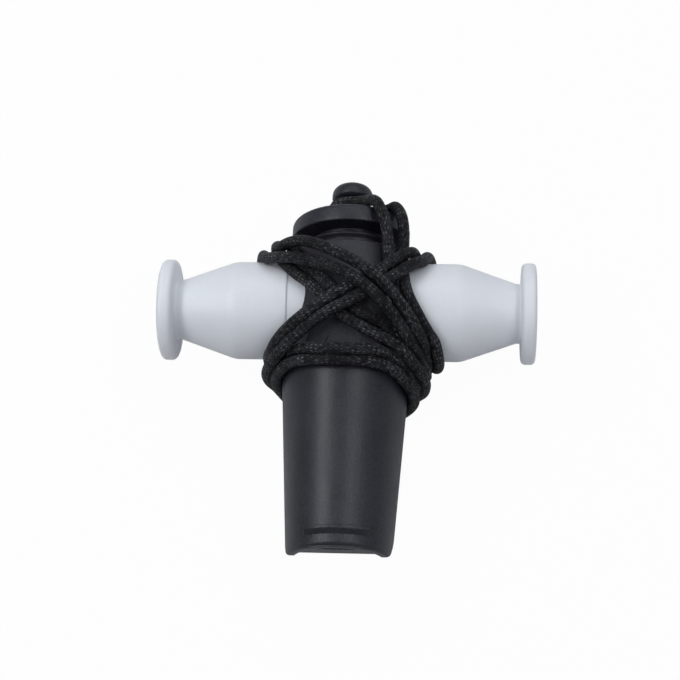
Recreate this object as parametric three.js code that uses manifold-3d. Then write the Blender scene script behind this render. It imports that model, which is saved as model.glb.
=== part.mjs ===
// Samba whistle: a black moulded body, two white tone barrels, an end stopper and a wound lanyard.
// Sizes are in millimetres. The whistle lies on its back with its window up:
// +X runs along the right barrel, +Y along the body to the lanyard knob, +Z out of the window.
// Heights along the body are measured from the axis of the barrels.
import * as THREE from 'three';
import { mergeVertices } from 'three/addons/utils/BufferGeometryUtils.js';
import { ConvexGeometry } from 'three/addons/geometries/ConvexGeometry.js';
import Module from 'manifold-3d';

// Body shell
const BODY_RADIUS = 13;
const BODY_TOP = 11;
const TAPER_DROP = 17;
const MOUTH_DROP = 53.3;
const MOUTH_RADIUS = 10.66;
const MOUTH_WALL = 1.6;
const MOUTH_ROUND = 0.8;
const TOP_ROUND = 0.5;
const CHAMBER_RADIUS = 9.8;
const CHAMBER_TOP = 9.3;
const COLLAR_RADIUS = 10.25;
const COLLAR_TOP = 14.07;
const COLLAR_BORE = 8.4;
const COLLAR_EASE = 0.3;

// Window, ramp and lip
const LIP_DROP = 11;
const LIP_WIDTH = 7.44;
const WINDOW_LENGTH = 4;
const RAMP_START = 1;
const RAMP_DEPTH = 2.53;
const FACET_DROP = 7.2;
const FACET_TOP_WIDTH = 3.2;
const FACET_DEPTH = 0.3;

// Tooth ridge across the front of the mouthpiece
const RIDGE_DROP = 49.05;
const RIDGE_WIDTH = 1.7;
const RIDGE_LENGTH = 12.8;
const RIDGE_HEIGHT = 0.65;
const RIDGE_CREST = 0.75;

// Beak on the back of the mouthpiece, and the windway block that shows in it
const BEAK_EDGE_Z = 2.8;
const BEAK_SLOPE = 0.75;
const BLOCK_RECESS = 1.5;
const BLOCK_END_RECESS = 0.3;
const BLOCK_CLEARANCE = 0.2;
const WINDWAY_IN = 2.06;
const WINDWAY_OUT = 1.1;

// Stopper in the collar
const STOPPER_CLEARANCE = 0.25;
const STOPPER_DRAWN = 1.48;
const STOPPER_REACH = 3.6;
const STOPPER_CORE = 6.2;
const STOPPER_CROWN = 2.6;
const FLANGE_RADIUS = 12.47;
const FLANGE_HEIGHT = 3.81;
const FLANGE_ROUND = 1;
const KNOB_NECK = 2.2;
const KNOB_NECK_LENGTH = 6.2;
const KNOB_RADIUS = 4.35;
const KNOB_HEIGHT = 3.6;
const KNOB_RIM = 0.7;
const KNOB_SHOULDER = 0.85;
const KNOB_CROWN = 0.7;

// Tone barrels, both alike, measured outward from the body's axis
const SPIGOT_RADIUS = 9.75;
const SPIGOT_CLEARANCE = 0.25;
const SPIGOT_LENGTH = 8.8;
const SPIGOT_WALL = 1.4;
const SHOULDER_GAP = 0.3;
const BARREL_RADIUS = 10.2;
const BARREL_STRAIGHT = 10.2;
const BARREL_BLEND = 3.4;
const BARREL_NECK = 6.2;
const BARREL_REACH = 39;
const BARREL_FLANGE_RADIUS = 10.56;
const BARREL_FLANGE = 3;
const BARREL_FLANGE_ROUND = 1;
const BARREL_EASE = 0.4;
const FINGER_HOLE = 4.4;
const FINGER_HOLE_ROUND = 0.9;

// Lanyard
const CORD_DIAMETER = 2;
const CORD_GAP = 0.49;
const CORD_REST = 0.36;
const CORD_STEP = 2;
const CORD_SIDES = 6;
const CORD_RINGS = 400;
const CORD_FLAT = 0.2;
const CORD_NEAR = 1.6;
const KNOT_CENTRE = [13.6, 1.2, -13.2];
const KNOT_RADIUS = 2.3;
const KNOT_SQUASH = 0.8;
const KNOT_PITCH = 2.4;
const KNOT_TAIL = 5;
const KNOT_TILT = 0.2;
const KNOT_TAIL_TILT = 0.3;
const KNOT_SIDES = 8;
const KNOT_STEPS = 18;

// Settling of the laid cord: rounds, longest step, and the pulls in the first and the last round
const SETTLE_ROUNDS = 400;
const SETTLE_STEP = 0.5;
const HOLD_FIRST = 0.1;
const HOLD_LAST = 0.01;
const TIGHTEN_FIRST = 0.15;
const TIGHTEN_LAST = 0.03;
const LIFT_OFF = 0.8;
const PUSH_APART = 0.35;

// Roundness and colours
const ROUND_SIDES = 72;
const SLIM_SIDES = 44;
const ARC_STEPS = 2;
const CUT_MARGIN = 10;
const BLACK_PLASTIC = { color: 0x1d1e21, roughness: 0.5, metalness: 0 };
const WHITE_PLASTIC = { color: 0xe2e5e9, roughness: 0.4, metalness: 0 };
const BLACK_CORD = { color: 0x18181b, roughness: 0.9, metalness: 0 };

// Places worked out from the sizes above
const MOUTH_Y = -MOUTH_DROP;
const LIP_Y = -LIP_DROP;
const WINDOW_END_Y = LIP_Y - WINDOW_LENGTH;
const LIP_Z = BODY_RADIUS - RAMP_DEPTH;
const RAMP_SLOPE = RAMP_DEPTH / (RAMP_START - LIP_Y);
const MOUTH_BORE = MOUTH_RADIUS - MOUTH_WALL;
const SOCKET_RADIUS = SPIGOT_RADIUS + SPIGOT_CLEARANCE;
const SHOULDER_X = BODY_RADIUS + SHOULDER_GAP;
const SPIGOT_END_X = SHOULDER_X - SPIGOT_LENGTH;
const FLANGE_BOTTOM = COLLAR_TOP + STOPPER_DRAWN;
const FLANGE_TOP = FLANGE_BOTTOM + FLANGE_HEIGHT;
const KNOB_BASE = FLANGE_TOP + KNOB_NECK_LENGTH;
const KNOB_TOP = KNOB_BASE + KNOB_HEIGHT;
const BODY_CONE = (BODY_RADIUS - MOUTH_RADIUS) / (MOUTH_DROP - TAPER_DROP);
const BORE_CONE = (CHAMBER_RADIUS - MOUTH_BORE) / (WINDOW_END_Y - MOUTH_Y);

// Route of the lanyard: a cord folded in two, hitched round the knob's neck by its fold.
// Each strand runs from the neck to the knot behind the right barrel.
const NECK_HITCH = [
  [2.3, 23.3, 4.8], [-0.1, 23.8, 3.9], [-3.3, 23.9, 3.4], [-4.6, 23.5, 0.4], [-3.3, 23.3, -2.8],
  [0, 23.1, -3.7],
];
const STRAND_ONE = [
  // down the front, right of the window, and under the right barrel
  [4.7, 21.1, 10.1], [6.8, 17.6, 13.7], [8.1, 14.6, 13.4], [8.6, 9.2, 12], [8.6, 5.6, 11.8],
  [9.2, 2.1, 11.4], [10.6, -1.8, 11.1], [12.7, -5.3, 10], [15, -8.4, 8], [13.9, -11.3, 4.6],
  [14.6, -11.8, 0],
  // up across the back and over the left barrel
  [14.5, -11.7, -4.5], [12.8, -9.8, -9.4], [8, -6, -12.6], [1.9, -1.5, -14.4], [-3.9, 3, -13.9],
  [-10.1, 7, -11.1], [-13.6, 9.8, -7.6], [-14.6, 11.6, -2], [-14.5, 10.9, 4.6],
  // down across the front, above the lip, to the right side
  [-13.7, 7.6, 9], [-11.8, 5.2, 10.4], [-8.5, 2.6, 11.8], [-5.1, -1.2, 13.4], [-2.5, -4.5, 14.1],
  [0, -7, 14.4], [2.6, -8.4, 14.2], [5, -9.5, 13.6], [7.9, -10.5, 12.6], [10.2, -11.5, 12.4],
  [12.7, -13.1, 10.8], [14.3, -14.3, 7.2], [15.1, -15.5, 1.5], [15.1, -16.2, -4.8],
  // level across the back
  [11.8, -16, -11], [6.3, -17, -15.2], [0, -17.5, -14.6], [-6.5, -17.1, -13], [-11.4, -16.5, -9],
  // level across the front, below the window
  [-14.1, -16.1, -3.5], [-14, -15.4, 3.5], [-12.4, -15.1, 7.7], [-9.7, -15, 10.9], [-6.2, -15.5, 13.2],
  [-1, -15.9, 14.3], [4, -15.8, 14], [7.2, -15.8, 12.7], [9.8, -15.9, 10.7], [11.8, -17, 7.6],
  [13.8, -18.9, 2.5],
  // across the back again and up the left side
  [13.3, -19.1, -4.6], [10.4, -19.4, -9.9], [5.1, -20.8, -13.3], [-1.5, -22, -14.1], [-7, -20, -13.2],
  [-11.8, -16.2, -13], [-14.8, -13.8, -8.5], [-15.9, -14.2, -2.5], [-15.2, -14.4, 4],
  [-13.9, -13.8, 9.3],
  // up across the front and over the right barrel
  [-11.9, -12.6, 13], [-8.7, -10.3, 15.1], [-5.7, -8.2, 16.2], [-2.5, -6.2, 16.7], [1.4, -4.4, 16.8],
  [4.2, -2.5, 16.5], [6.9, -0.6, 15.7], [9.4, 1.7, 14.6], [12, 4, 13.6], [14.6, 6.9, 11.3],
  [15.9, 7.8, 8], [16.5, 8.9, 3],
  // level across the back, above the barrels, and over the left one
  [17.4, 11, -3.4], [15.5, 8.6, -8.2], [9.2, 6.5, -11.6], [1.9, 6, -14.4], [-4.7, 6.3, -15.5],
  [-10.1, 7.5, -14.3], [-16, 8.8, -10.2], [-19.2, 11.1, -3.9], [-18.2, 10.3, 2.5], [-17, 8.1, 8.4],
  // down across the front on top of the rest, and under the right barrel to the knot
  [-15.1, 7.3, 11.2], [-11.8, 6.5, 13.7], [-8.3, 5.2, 15.2], [-4.5, 3.6, 16.8], [-0.7, 1.6, 18.5],
  [2.7, -0.5, 19.3], [5.5, -2.4, 18.9], [7.9, -4.7, 17.7], [10.3, -7, 15.5], [12.4, -9.3, 13],
  [13.6, -11.7, 9.9], [14.6, -13.7, 5.6], [15.5, -14, 0.5], [14.9, -13.9, -5.4], [14.4, -11.8, -10.6],
  [12.9, -7.5, -13.2], [12.2, -2.2, -13.2],
];
const STRAND_TWO = [
  // off the neck, down the front and under the right barrel
  [3.2, 23, -2.9], [5.6, 22.3, 1.5], [8.2, 20.7, 6.2], [10.7, 19.1, 9.3], [11.6, 16.6, 10],
  [11.7, 13.8, 9.8], [11.6, 10.7, 9.6], [11.5, 7.1, 9.7], [11.8, 2.9, 10.8], [12.3, -1.1, 11.5],
  [14.5, -4.5, 10.5], [16.6, -7.4, 8.6], [18.1, -10, 5.8], [18.5, -11.6, 0.5],
  // up across the back and over the left barrel
  [18.4, -10.9, -4.6], [16.2, -8.2, -9], [10.9, -3.5, -11.2], [5.3, 1, -13.8], [-1, 5.2, -14.4],
  [-6.5, 9.6, -13], [-10.3, 12.4, -7.2], [-11.8, 12.8, -1.5], [-11.9, 12.7, 4.2],
  // down across the front, above the lip, to the right side
  [-11.5, 9.9, 9.9], [-9.5, 5.6, 11.2], [-6.6, 3.8, 12.9], [-4, 1.4, 13.9], [-2, -1.4, 14.2],
  [-0.2, -4.1, 14.3], [2, -5.4, 14.3], [4.6, -6.1, 13.7], [7.6, -7.1, 12.4], [10.1, -8.5, 11.2],
  [12.3, -11, 9.8], [13.9, -13.3, 6.4], [14.4, -14, 1.5], [13.7, -14.1, -4.6],
  // level across the back
  [11.2, -14.6, -9.3], [6, -14.6, -13.2], [0, -14.6, -14.5], [-6.5, -14.3, -13], [-11.4, -13.7, -9.1],
  // level across the front, over the window
  [-14.2, -13.3, -3], [-14.3, -13.9, 3.7], [-13, -13.1, 7.2], [-10.2, -12.8, 10.5], [-7.2, -13.6, 13.6],
  [-2.2, -14.6, 16], [2.6, -14.5, 16], [7.3, -13.9, 13.9], [10.6, -14.2, 10.2], [12.5, -15.7, 7],
  [14.1, -16.4, 2],
  // across the back again and up the left side
  [13.6, -16.6, -4.5], [10.8, -17, -9.8], [5.6, -18.2, -13.3], [-1, -19.4, -14.4], [-6, -17.6, -15.9],
  [-11.5, -14.4, -13.8], [-15, -11.8, -8.3], [-15.7, -11.9, -2], [-15.5, -12, 4], [-14.1, -11.9, 10.2],
  // up across the front and over the right barrel
  [-12.1, -10.6, 13.5], [-9.7, -9, 15.5], [-6.9, -6.9, 16.7], [-4.2, -4.3, 16.6], [-1, -2.3, 16.9],
  [1.5, -0.9, 16.8], [4.2, 0.7, 16.5], [6.9, 2.7, 15.6], [9.4, 5.1, 14.5], [11.6, 7.9, 12.5],
  [13.4, 9.9, 9], [13.8, 11.3, 3.4],
  // level across the back, above the barrels, and over the left one
  [14, 11.4, -3], [11.5, 10.7, -8.6], [5.8, 9.6, -13.1], [0, 9.6, -14.4], [-5.3, 11, -14.3],
  [-11.5, 12.6, -11.5], [-15.2, 12.8, -5.8], [-15.2, 13, 1.5], [-14.2, 10.5, 7.6],
  // down across the front on top of the rest, and under the right barrel to the knot
  [-12.6, 9.9, 12.4], [-9.6, 9.6, 15.4], [-5.2, 7.7, 17.2], [-1.1, 5.1, 18.9], [2.6, 2.9, 19.3],
  [5.6, 1.2, 18.9], [8.6, -1.2, 17.7], [11.2, -3.8, 15.3], [13.7, -7, 13.6], [15.3, -9.6, 10.8],
  [16.2, -11.2, 6.6], [16.3, -11.8, 0.5], [16.4, -12.4, -4.5], [16.4, -11, -9.4], [16.2, -7.6, -12.3],
  [15.2, -2.9, -13],
];

const wasm = await Module();
wasm.setup();

// Solid for cutting and joining, from a closed geometry
function toSolid(geometry) {
  const bare = geometry.clone();
  bare.deleteAttribute('normal');
  bare.deleteAttribute('uv');
  const merged = mergeVertices(bare, 1e-5);
  return new wasm.Manifold(new wasm.Mesh({
    numProp: 3,
    vertProperties: merged.attributes.position.array,
    triVerts: Uint32Array.from(merged.index.array),
  }));
}

function toGeometry(solid) {
  const mesh = solid.getMesh();
  const geometry = new THREE.BufferGeometry();
  geometry.setAttribute('position', new THREE.BufferAttribute(Float32Array.from(mesh.vertProperties), 3));
  geometry.setIndex(new THREE.BufferAttribute(Uint32Array.from(mesh.triVerts), 1));
  geometry.computeVertexNormals();
  return geometry;
}

// Solid of revolution about Y, from a profile drawn as radius and height
function turned(path, sides) {
  return new THREE.LatheGeometry(path.getPoints(ARC_STEPS), sides);
}

// Prism along X, from a shape drawn as Y and Z
function prism(corners, width) {
  const shape = new THREE.Shape(corners.map(([y, z]) => new THREE.Vector2(y, z)));
  const geometry = new THREE.ExtrudeGeometry(shape, { depth: width, bevelEnabled: false });
  geometry.translate(0, 0, -width / 2);
  const toSide = new THREE.Matrix4().makeBasis(
    new THREE.Vector3(0, 1, 0),
    new THREE.Vector3(0, 0, 1),
    new THREE.Vector3(1, 0, 0),
  );
  return geometry.applyMatrix4(toSide);
}

function block(width, lowY, highY, lowZ, highZ) {
  const geometry = new THREE.BoxGeometry(width, highY - lowY, highZ - lowZ);
  return geometry.translate(0, (lowY + highY) / 2, (lowZ + highZ) / 2);
}

// Radius of the tapered outside and of the bore at a height along the body
function bodyRadiusAt(y) {
  return BODY_RADIUS + Math.min(y + TAPER_DROP, 0) * BODY_CONE;
}

function boreRadiusAt(y) {
  return CHAMBER_RADIUS + Math.min(y - WINDOW_END_Y, 0) * BORE_CONE;
}

function bodyOutside() {
  const profile = new THREE.Path();
  profile.moveTo(0, MOUTH_Y);
  profile.lineTo(MOUTH_RADIUS - MOUTH_ROUND, MOUTH_Y);
  profile.absarc(MOUTH_RADIUS - MOUTH_ROUND, MOUTH_Y + MOUTH_ROUND, MOUTH_ROUND, -Math.PI / 2, 0);
  profile.lineTo(BODY_RADIUS, -TAPER_DROP);
  profile.lineTo(BODY_RADIUS, BODY_TOP - TOP_ROUND);
  profile.absarc(BODY_RADIUS - TOP_ROUND, BODY_TOP - TOP_ROUND, TOP_ROUND, 0, Math.PI / 2);
  profile.lineTo(COLLAR_RADIUS, BODY_TOP);
  profile.lineTo(COLLAR_RADIUS, COLLAR_TOP - COLLAR_EASE);
  profile.lineTo(COLLAR_RADIUS - COLLAR_EASE, COLLAR_TOP);
  profile.lineTo(0, COLLAR_TOP);
  return toSolid(turned(profile, ROUND_SIDES));
}

// Bore of the body, narrowed by a clearance for the block that fits in it
function bore(inset) {
  const step = CHAMBER_RADIUS - COLLAR_BORE;
  const foot = MOUTH_Y - CUT_MARGIN;
  const head = COLLAR_TOP + CUT_MARGIN;
  const profile = new THREE.Path();
  profile.moveTo(0, foot);
  profile.lineTo(boreRadiusAt(foot) - inset, foot);
  profile.lineTo(CHAMBER_RADIUS - inset, WINDOW_END_Y);
  profile.lineTo(CHAMBER_RADIUS - inset, CHAMBER_TOP);
  profile.lineTo(COLLAR_BORE - inset, CHAMBER_TOP + step / 2);
  profile.lineTo(COLLAR_BORE - inset, head);
  profile.lineTo(0, head);
  return toSolid(turned(profile, ROUND_SIDES));
}

// Everything behind the sloping back of the beak, raised for the block that stands below its walls
function behindBeak(raise) {
  const edge = BEAK_EDGE_Z + raise;
  const farY = MOUTH_Y + (edge + 2 * BODY_RADIUS) / BEAK_SLOPE;
  const corners = [
    [MOUTH_Y - CUT_MARGIN, edge + CUT_MARGIN * BEAK_SLOPE],
    [MOUTH_Y - CUT_MARGIN, -2 * BODY_RADIUS],
    [farY, -2 * BODY_RADIUS],
  ];
  return toSolid(prism(corners, 4 * BODY_RADIUS));
}

// Level floor at the window, with the ramp that rises from the lip to the round front
function rampCut() {
  const rise = RAMP_DEPTH + CUT_MARGIN;
  const corners = [
    [WINDOW_END_Y, LIP_Z],
    [LIP_Y, LIP_Z],
    [LIP_Y + rise / RAMP_SLOPE, LIP_Z + rise],
    [WINDOW_END_Y, LIP_Z + rise],
  ];
  return toSolid(prism(corners, 4 * BODY_RADIUS));
}

// Steeper facet behind the lip, widening toward it between drafted sides
function facetCut() {
  const topY = -FACET_DROP;
  const topZ = LIP_Z + (topY - LIP_Y) * RAMP_SLOPE;
  const lipZ = LIP_Z - FACET_DEPTH;
  const slope = (topZ - lipZ) / (topY - LIP_Y);
  const beyondY = LIP_Y - WINDOW_LENGTH / 4;
  const spread = (LIP_WIDTH - FACET_TOP_WIDTH) / 2 / (topY - LIP_Y);
  const points = [];
  for (const y of [topY, beyondY]) {
    const half = FACET_TOP_WIDTH / 2 + (topY - y) * spread;
    const z = topZ + (y - topY) * slope;
    for (const side of [-1, 1]) {
      points.push(new THREE.Vector3(side * half, y, z));
      points.push(new THREE.Vector3(side * (half + RAMP_DEPTH), y, z + RAMP_DEPTH));
    }
  }
  return toSolid(new ConvexGeometry(points));
}

function windowCut() {
  return toSolid(block(LIP_WIDTH, WINDOW_END_Y, LIP_Y, CHAMBER_RADIUS / 2, 2 * BODY_RADIUS));
}

// Ridge for the teeth, following the round of the mouthpiece
function toothRidge() {
  const top = -RIDGE_DROP;
  const bottom = top - RIDGE_WIDTH;
  const root = bodyRadiusAt(bottom) - MOUTH_WALL / 2;
  const crest = bodyRadiusAt(top) + RIDGE_HEIGHT;
  const profile = new THREE.Path();
  profile.moveTo(root, bottom);
  profile.lineTo(bodyRadiusAt(bottom), bottom);
  profile.lineTo(crest, top - RIDGE_CREST);
  profile.lineTo(crest, top - RIDGE_HEIGHT / 4);
  profile.lineTo(bodyRadiusAt(top), top);
  profile.lineTo(root, top);
  profile.closePath();
  const ring = toSolid(turned(profile, ROUND_SIDES));
  const front = block(RIDGE_LENGTH, bottom - RIDGE_WIDTH, top + RIDGE_WIDTH, 0, 2 * BODY_RADIUS);
  return ring.intersect(toSolid(front));
}

function bodyShell() {
  const reach = 2 * BODY_RADIUS + CUT_MARGIN;
  const sockets = new THREE.CylinderGeometry(SOCKET_RADIUS, SOCKET_RADIUS, reach, ROUND_SIDES);
  sockets.rotateZ(Math.PI / 2);
  return bodyOutside()
    .add(toothRidge())
    .subtract(bore(0))
    .subtract(toSolid(sockets))
    .subtract(rampCut())
    .subtract(facetCut())
    .subtract(windowCut())
    .subtract(behindBeak(0));
}

// Block that fills the mouthpiece below the windway
function windwayBlock() {
  const lowY = MOUTH_Y + BLOCK_END_RECESS;
  const highY = WINDOW_END_Y - BLOCK_CLEARANCE;
  const corners = [
    [lowY, -2 * BODY_RADIUS],
    [highY, -2 * BODY_RADIUS],
    [highY, boreRadiusAt(highY) - WINDWAY_OUT],
    [lowY, boreRadiusAt(lowY) - WINDWAY_IN],
  ];
  return bore(BLOCK_CLEARANCE)
    .intersect(toSolid(prism(corners, 4 * BODY_RADIUS)))
    .subtract(behindBeak(BLOCK_RECESS));
}

// Hollow plug, flange, neck and domed knob in one turning
function stopperProfile() {
  const plug = COLLAR_BORE - STOPPER_CLEARANCE;
  const foot = COLLAR_TOP - STOPPER_REACH;
  const profile = new THREE.Path();
  profile.moveTo(0, FLANGE_TOP - STOPPER_CROWN);
  profile.lineTo(STOPPER_CORE, FLANGE_TOP - STOPPER_CROWN);
  profile.lineTo(STOPPER_CORE, foot);
  profile.lineTo(plug - COLLAR_EASE, foot);
  profile.lineTo(plug, foot + COLLAR_EASE);
  profile.lineTo(plug, FLANGE_BOTTOM);
  profile.lineTo(FLANGE_RADIUS - COLLAR_EASE, FLANGE_BOTTOM);
  profile.lineTo(FLANGE_RADIUS, FLANGE_BOTTOM + COLLAR_EASE);
  profile.lineTo(FLANGE_RADIUS, FLANGE_TOP - FLANGE_ROUND);
  profile.absarc(FLANGE_RADIUS - FLANGE_ROUND, FLANGE_TOP - FLANGE_ROUND, FLANGE_ROUND, 0, Math.PI / 2);
  profile.lineTo(KNOB_NECK + KNOB_RIM, FLANGE_TOP);
  profile.quadraticCurveTo(KNOB_NECK, FLANGE_TOP, KNOB_NECK, FLANGE_TOP + KNOB_RIM);
  profile.lineTo(KNOB_NECK, KNOB_BASE - KNOB_RIM);
  profile.lineTo(KNOB_RADIUS - KNOB_RIM, KNOB_BASE);
  profile.quadraticCurveTo(KNOB_RADIUS, KNOB_BASE, KNOB_RADIUS, KNOB_BASE + KNOB_RIM);
  profile.bezierCurveTo(
    KNOB_RADIUS, KNOB_BASE + KNOB_HEIGHT * KNOB_SHOULDER,
    KNOB_RADIUS * KNOB_CROWN, KNOB_TOP,
    0, KNOB_TOP,
  );
  return profile;
}

// Barrel with a spigot, a straight belly, a cone to the neck and a flange with a finger hole
function barrelProfile() {
  const flangeIn = BARREL_REACH - BARREL_FLANGE;
  const straightEnd = SHOULDER_X + BARREL_STRAIGHT;
  const neckEnd = flangeIn - BARREL_FLANGE_ROUND;
  const cone = (BARREL_RADIUS - BARREL_NECK) / (neckEnd - straightEnd);
  const bore = SPIGOT_RADIUS - SPIGOT_WALL;
  const profile = new THREE.Path();
  profile.moveTo(bore, SPIGOT_END_X);
  profile.lineTo(SPIGOT_RADIUS - BARREL_EASE, SPIGOT_END_X);
  profile.lineTo(SPIGOT_RADIUS, SPIGOT_END_X + BARREL_EASE);
  profile.lineTo(SPIGOT_RADIUS, SHOULDER_X);
  profile.lineTo(BARREL_RADIUS - BARREL_EASE, SHOULDER_X);
  profile.absarc(BARREL_RADIUS - BARREL_EASE, SHOULDER_X + BARREL_EASE, BARREL_EASE, -Math.PI / 2, 0);
  profile.lineTo(BARREL_RADIUS, straightEnd - BARREL_BLEND / 2);
  profile.quadraticCurveTo(
    BARREL_RADIUS, straightEnd,
    BARREL_RADIUS - cone * BARREL_BLEND / 2, straightEnd + BARREL_BLEND / 2,
  );
  profile.lineTo(BARREL_NECK, neckEnd);
  profile.quadraticCurveTo(BARREL_NECK, flangeIn, BARREL_NECK + BARREL_FLANGE_ROUND, flangeIn);
  profile.lineTo(BARREL_FLANGE_RADIUS - BARREL_FLANGE_ROUND, flangeIn);
  profile.absarc(
    BARREL_FLANGE_RADIUS - BARREL_FLANGE_ROUND, flangeIn + BARREL_FLANGE_ROUND,
    BARREL_FLANGE_ROUND, -Math.PI / 2, 0,
  );
  profile.absarc(
    BARREL_FLANGE_RADIUS - BARREL_FLANGE_ROUND, BARREL_REACH - BARREL_FLANGE_ROUND,
    BARREL_FLANGE_ROUND, 0, Math.PI / 2,
  );
  profile.lineTo(FINGER_HOLE + FINGER_HOLE_ROUND, BARREL_REACH);
  profile.absarc(
    FINGER_HOLE + FINGER_HOLE_ROUND, BARREL_REACH - FINGER_HOLE_ROUND,
    FINGER_HOLE_ROUND, Math.PI / 2, Math.PI,
  );
  profile.lineTo(FINGER_HOLE, flangeIn);
  profile.lineTo(bore, straightEnd);
  profile.closePath();
  return profile;
}

// Points at an even step along the smooth curve through the chosen ones
function laidCord() {
  const chosen = [...STRAND_ONE].reverse().concat(NECK_HITCH, STRAND_TWO);
  const curve = new THREE.CatmullRomCurve3(chosen.map((point) => new THREE.Vector3(...point)));
  curve.arcLengthDivisions = chosen.length * 12;
  return curve.getSpacedPoints(Math.round(curve.getLength() / CORD_STEP));
}

// Round pieces that the cord lies on: axis, radius, and where each starts and ends along its axis
function roundNeighbours(point) {
  const along = Math.abs(point.x);
  return [
    { axis: 'y', radius: bodyRadiusAt(point.y), low: MOUTH_Y, high: BODY_TOP, at: point.y },
    { axis: 'y', radius: COLLAR_RADIUS, low: BODY_TOP, high: COLLAR_TOP, at: point.y },
    { axis: 'y', radius: FLANGE_RADIUS, low: FLANGE_BOTTOM, high: FLANGE_TOP, at: point.y },
    { axis: 'y', radius: KNOB_NECK, low: FLANGE_TOP, high: KNOB_BASE, at: point.y },
    { axis: 'y', radius: KNOB_RADIUS, low: KNOB_BASE, high: KNOB_TOP, at: point.y },
    { axis: 'x', radius: BARREL_RADIUS, low: SPIGOT_END_X, high: SHOULDER_X + BARREL_STRAIGHT, at: along },
  ];
}

// Step that takes a point off a round piece until it stands clear by the given distance
function stepOff(point, piece, clear) {
  const radial = point.clone();
  radial[piece.axis] = 0;
  const side = radial.length() - piece.radius;
  const middle = (piece.low + piece.high) / 2;
  const end = Math.abs(piece.at - middle) - (piece.high - piece.low) / 2;
  const outside = side > 0 && end > 0;
  const distance = outside ? Math.hypot(side, end) : Math.max(side, end);
  const step = new THREE.Vector3();
  if (distance >= clear) {
    return step;
  }
  const shareOut = outside ? side / distance : Number(side >= end);
  const shareAlong = outside ? end / distance : Number(side < end);
  const sign = Math.sign(piece.at - middle) * (piece.axis === 'x' ? Math.sign(point.x) : 1);
  step.copy(radial).setLength((clear - distance) * shareOut);
  step[piece.axis] += (clear - distance) * shareAlong * sign;
  return step;
}

// Pairs of points that are close in space but not neighbours along the cord
function eachClosePair(points, reach, visit) {
  const apart = Math.ceil((CORD_DIAMETER + CORD_GAP) * CORD_NEAR / CORD_STEP);
  for (let i = 0; i < points.length; i += 1) {
    for (let j = i + apart + 1; j < points.length; j += 1) {
      const dx = points[i].x - points[j].x;
      const dy = points[i].y - points[j].y;
      const dz = points[i].z - points[j].z;
      const square = dx * dx + dy * dy + dz * dz;
      if (square < reach * reach) {
        visit(i, j, Math.sqrt(square));
      }
    }
  }
}

// Draws the laid cord tight, bit by bit, keeping strands off each other and off the whistle
function settledCord() {
  const home = laidCord();
  const points = home.map((point) => point.clone());
  const spacing = CORD_DIAMETER + CORD_GAP;
  const clear = CORD_DIAMETER / 2 + CORD_REST;
  for (let round = 0; round < SETTLE_ROUNDS; round += 1) {
    const done = round / SETTLE_ROUNDS;
    const hold = THREE.MathUtils.lerp(HOLD_FIRST, HOLD_LAST, done);
    const tighten = THREE.MathUtils.lerp(TIGHTEN_FIRST, TIGHTEN_LAST, done);
    const steps = points.map((point, i) => {
      const step = home[i].clone().sub(point).multiplyScalar(hold);
      if (i > 0 && i < points.length - 1) {
        const middle = points[i - 1].clone().lerp(points[i + 1], 1 / 2);
        step.addScaledVector(middle.sub(point), tighten);
      }
      for (const piece of roundNeighbours(point)) {
        step.addScaledVector(stepOff(point, piece, clear), LIFT_OFF);
      }
      return step;
    });
    eachClosePair(points, spacing, (i, j, distance) => {
      const push = points[i].clone().sub(points[j]);
      push.setLength(PUSH_APART * (spacing - distance));
      steps[i].add(push);
      steps[j].sub(push);
    });
    points.forEach((point, i) => point.add(steps[i].clampLength(0, SETTLE_STEP)));
  }
  return points;
}

function lanyard() {
  const points = settledCord();
  let least = Infinity;
  eachClosePair(points, 2 * CORD_DIAMETER, (i, j, distance) => {
    least = Math.min(least, distance - CORD_DIAMETER);
  });
  const curve = new THREE.CatmullRomCurve3(points);
  curve.arcLengthDivisions = points.length * 4;
  const length = curve.getLength();
  console.log(`lanyard: length ${length.toFixed(1)} mm, least gap to itself ${least.toFixed(2)} mm`);
  const section = new THREE.Shape();
  for (let k = 0; k < CORD_SIDES; k += 1) {
    const angle = (2 * Math.PI * k) / CORD_SIDES;
    const corner = new THREE.Vector2(Math.cos(angle), Math.sin(angle)).multiplyScalar(CORD_DIAMETER / 2);
    section[k === 0 ? 'moveTo' : 'lineTo'](corner.x, corner.y);
  }
  return new THREE.ExtrudeGeometry(section, { steps: CORD_RINGS, extrudePath: curve });
}

// Lanyard with its lowest strands pressed flat where the whistle lies on them
function restedLanyard() {
  const cord = lanyard();
  cord.computeBoundingBox();
  const low = cord.boundingBox.min.z;
  const table = block(4 * BARREL_REACH, 2 * MOUTH_Y, 2 * MOUTH_DROP, low - CUT_MARGIN, low + CORD_FLAT);
  return toSolid(cord).subtract(toSolid(table));
}

// Knot in the two ends of the cord: two turns round a core, with two cut tails
function lanyardKnot() {
  const tube = CORD_DIAMETER / 2;
  const core = new THREE.SphereGeometry(KNOT_RADIUS, KNOT_STEPS, KNOT_SIDES);
  let knot = toSolid(core.scale(1, KNOT_PITCH / KNOT_RADIUS, KNOT_SQUASH));
  for (const side of [-1, 1]) {
    const turn = new THREE.TorusGeometry(KNOT_RADIUS, tube, KNOT_SIDES, KNOT_STEPS);
    turn.scale(1, KNOT_SQUASH, 1).rotateX(Math.PI / 2).rotateZ(side * KNOT_TILT);
    turn.translate(0, side * KNOT_PITCH / 2, 0);
    const tail = new THREE.CylinderGeometry(tube, tube, KNOT_TAIL, KNOT_SIDES);
    tail.translate(0, KNOT_TAIL / 2, 0).rotateZ(-side * KNOT_TAIL_TILT).translate(side * tube, 0, 0);
    knot = knot.add(toSolid(turn)).add(toSolid(tail));
  }
  return knot.translate(KNOT_CENTRE);
}

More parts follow.
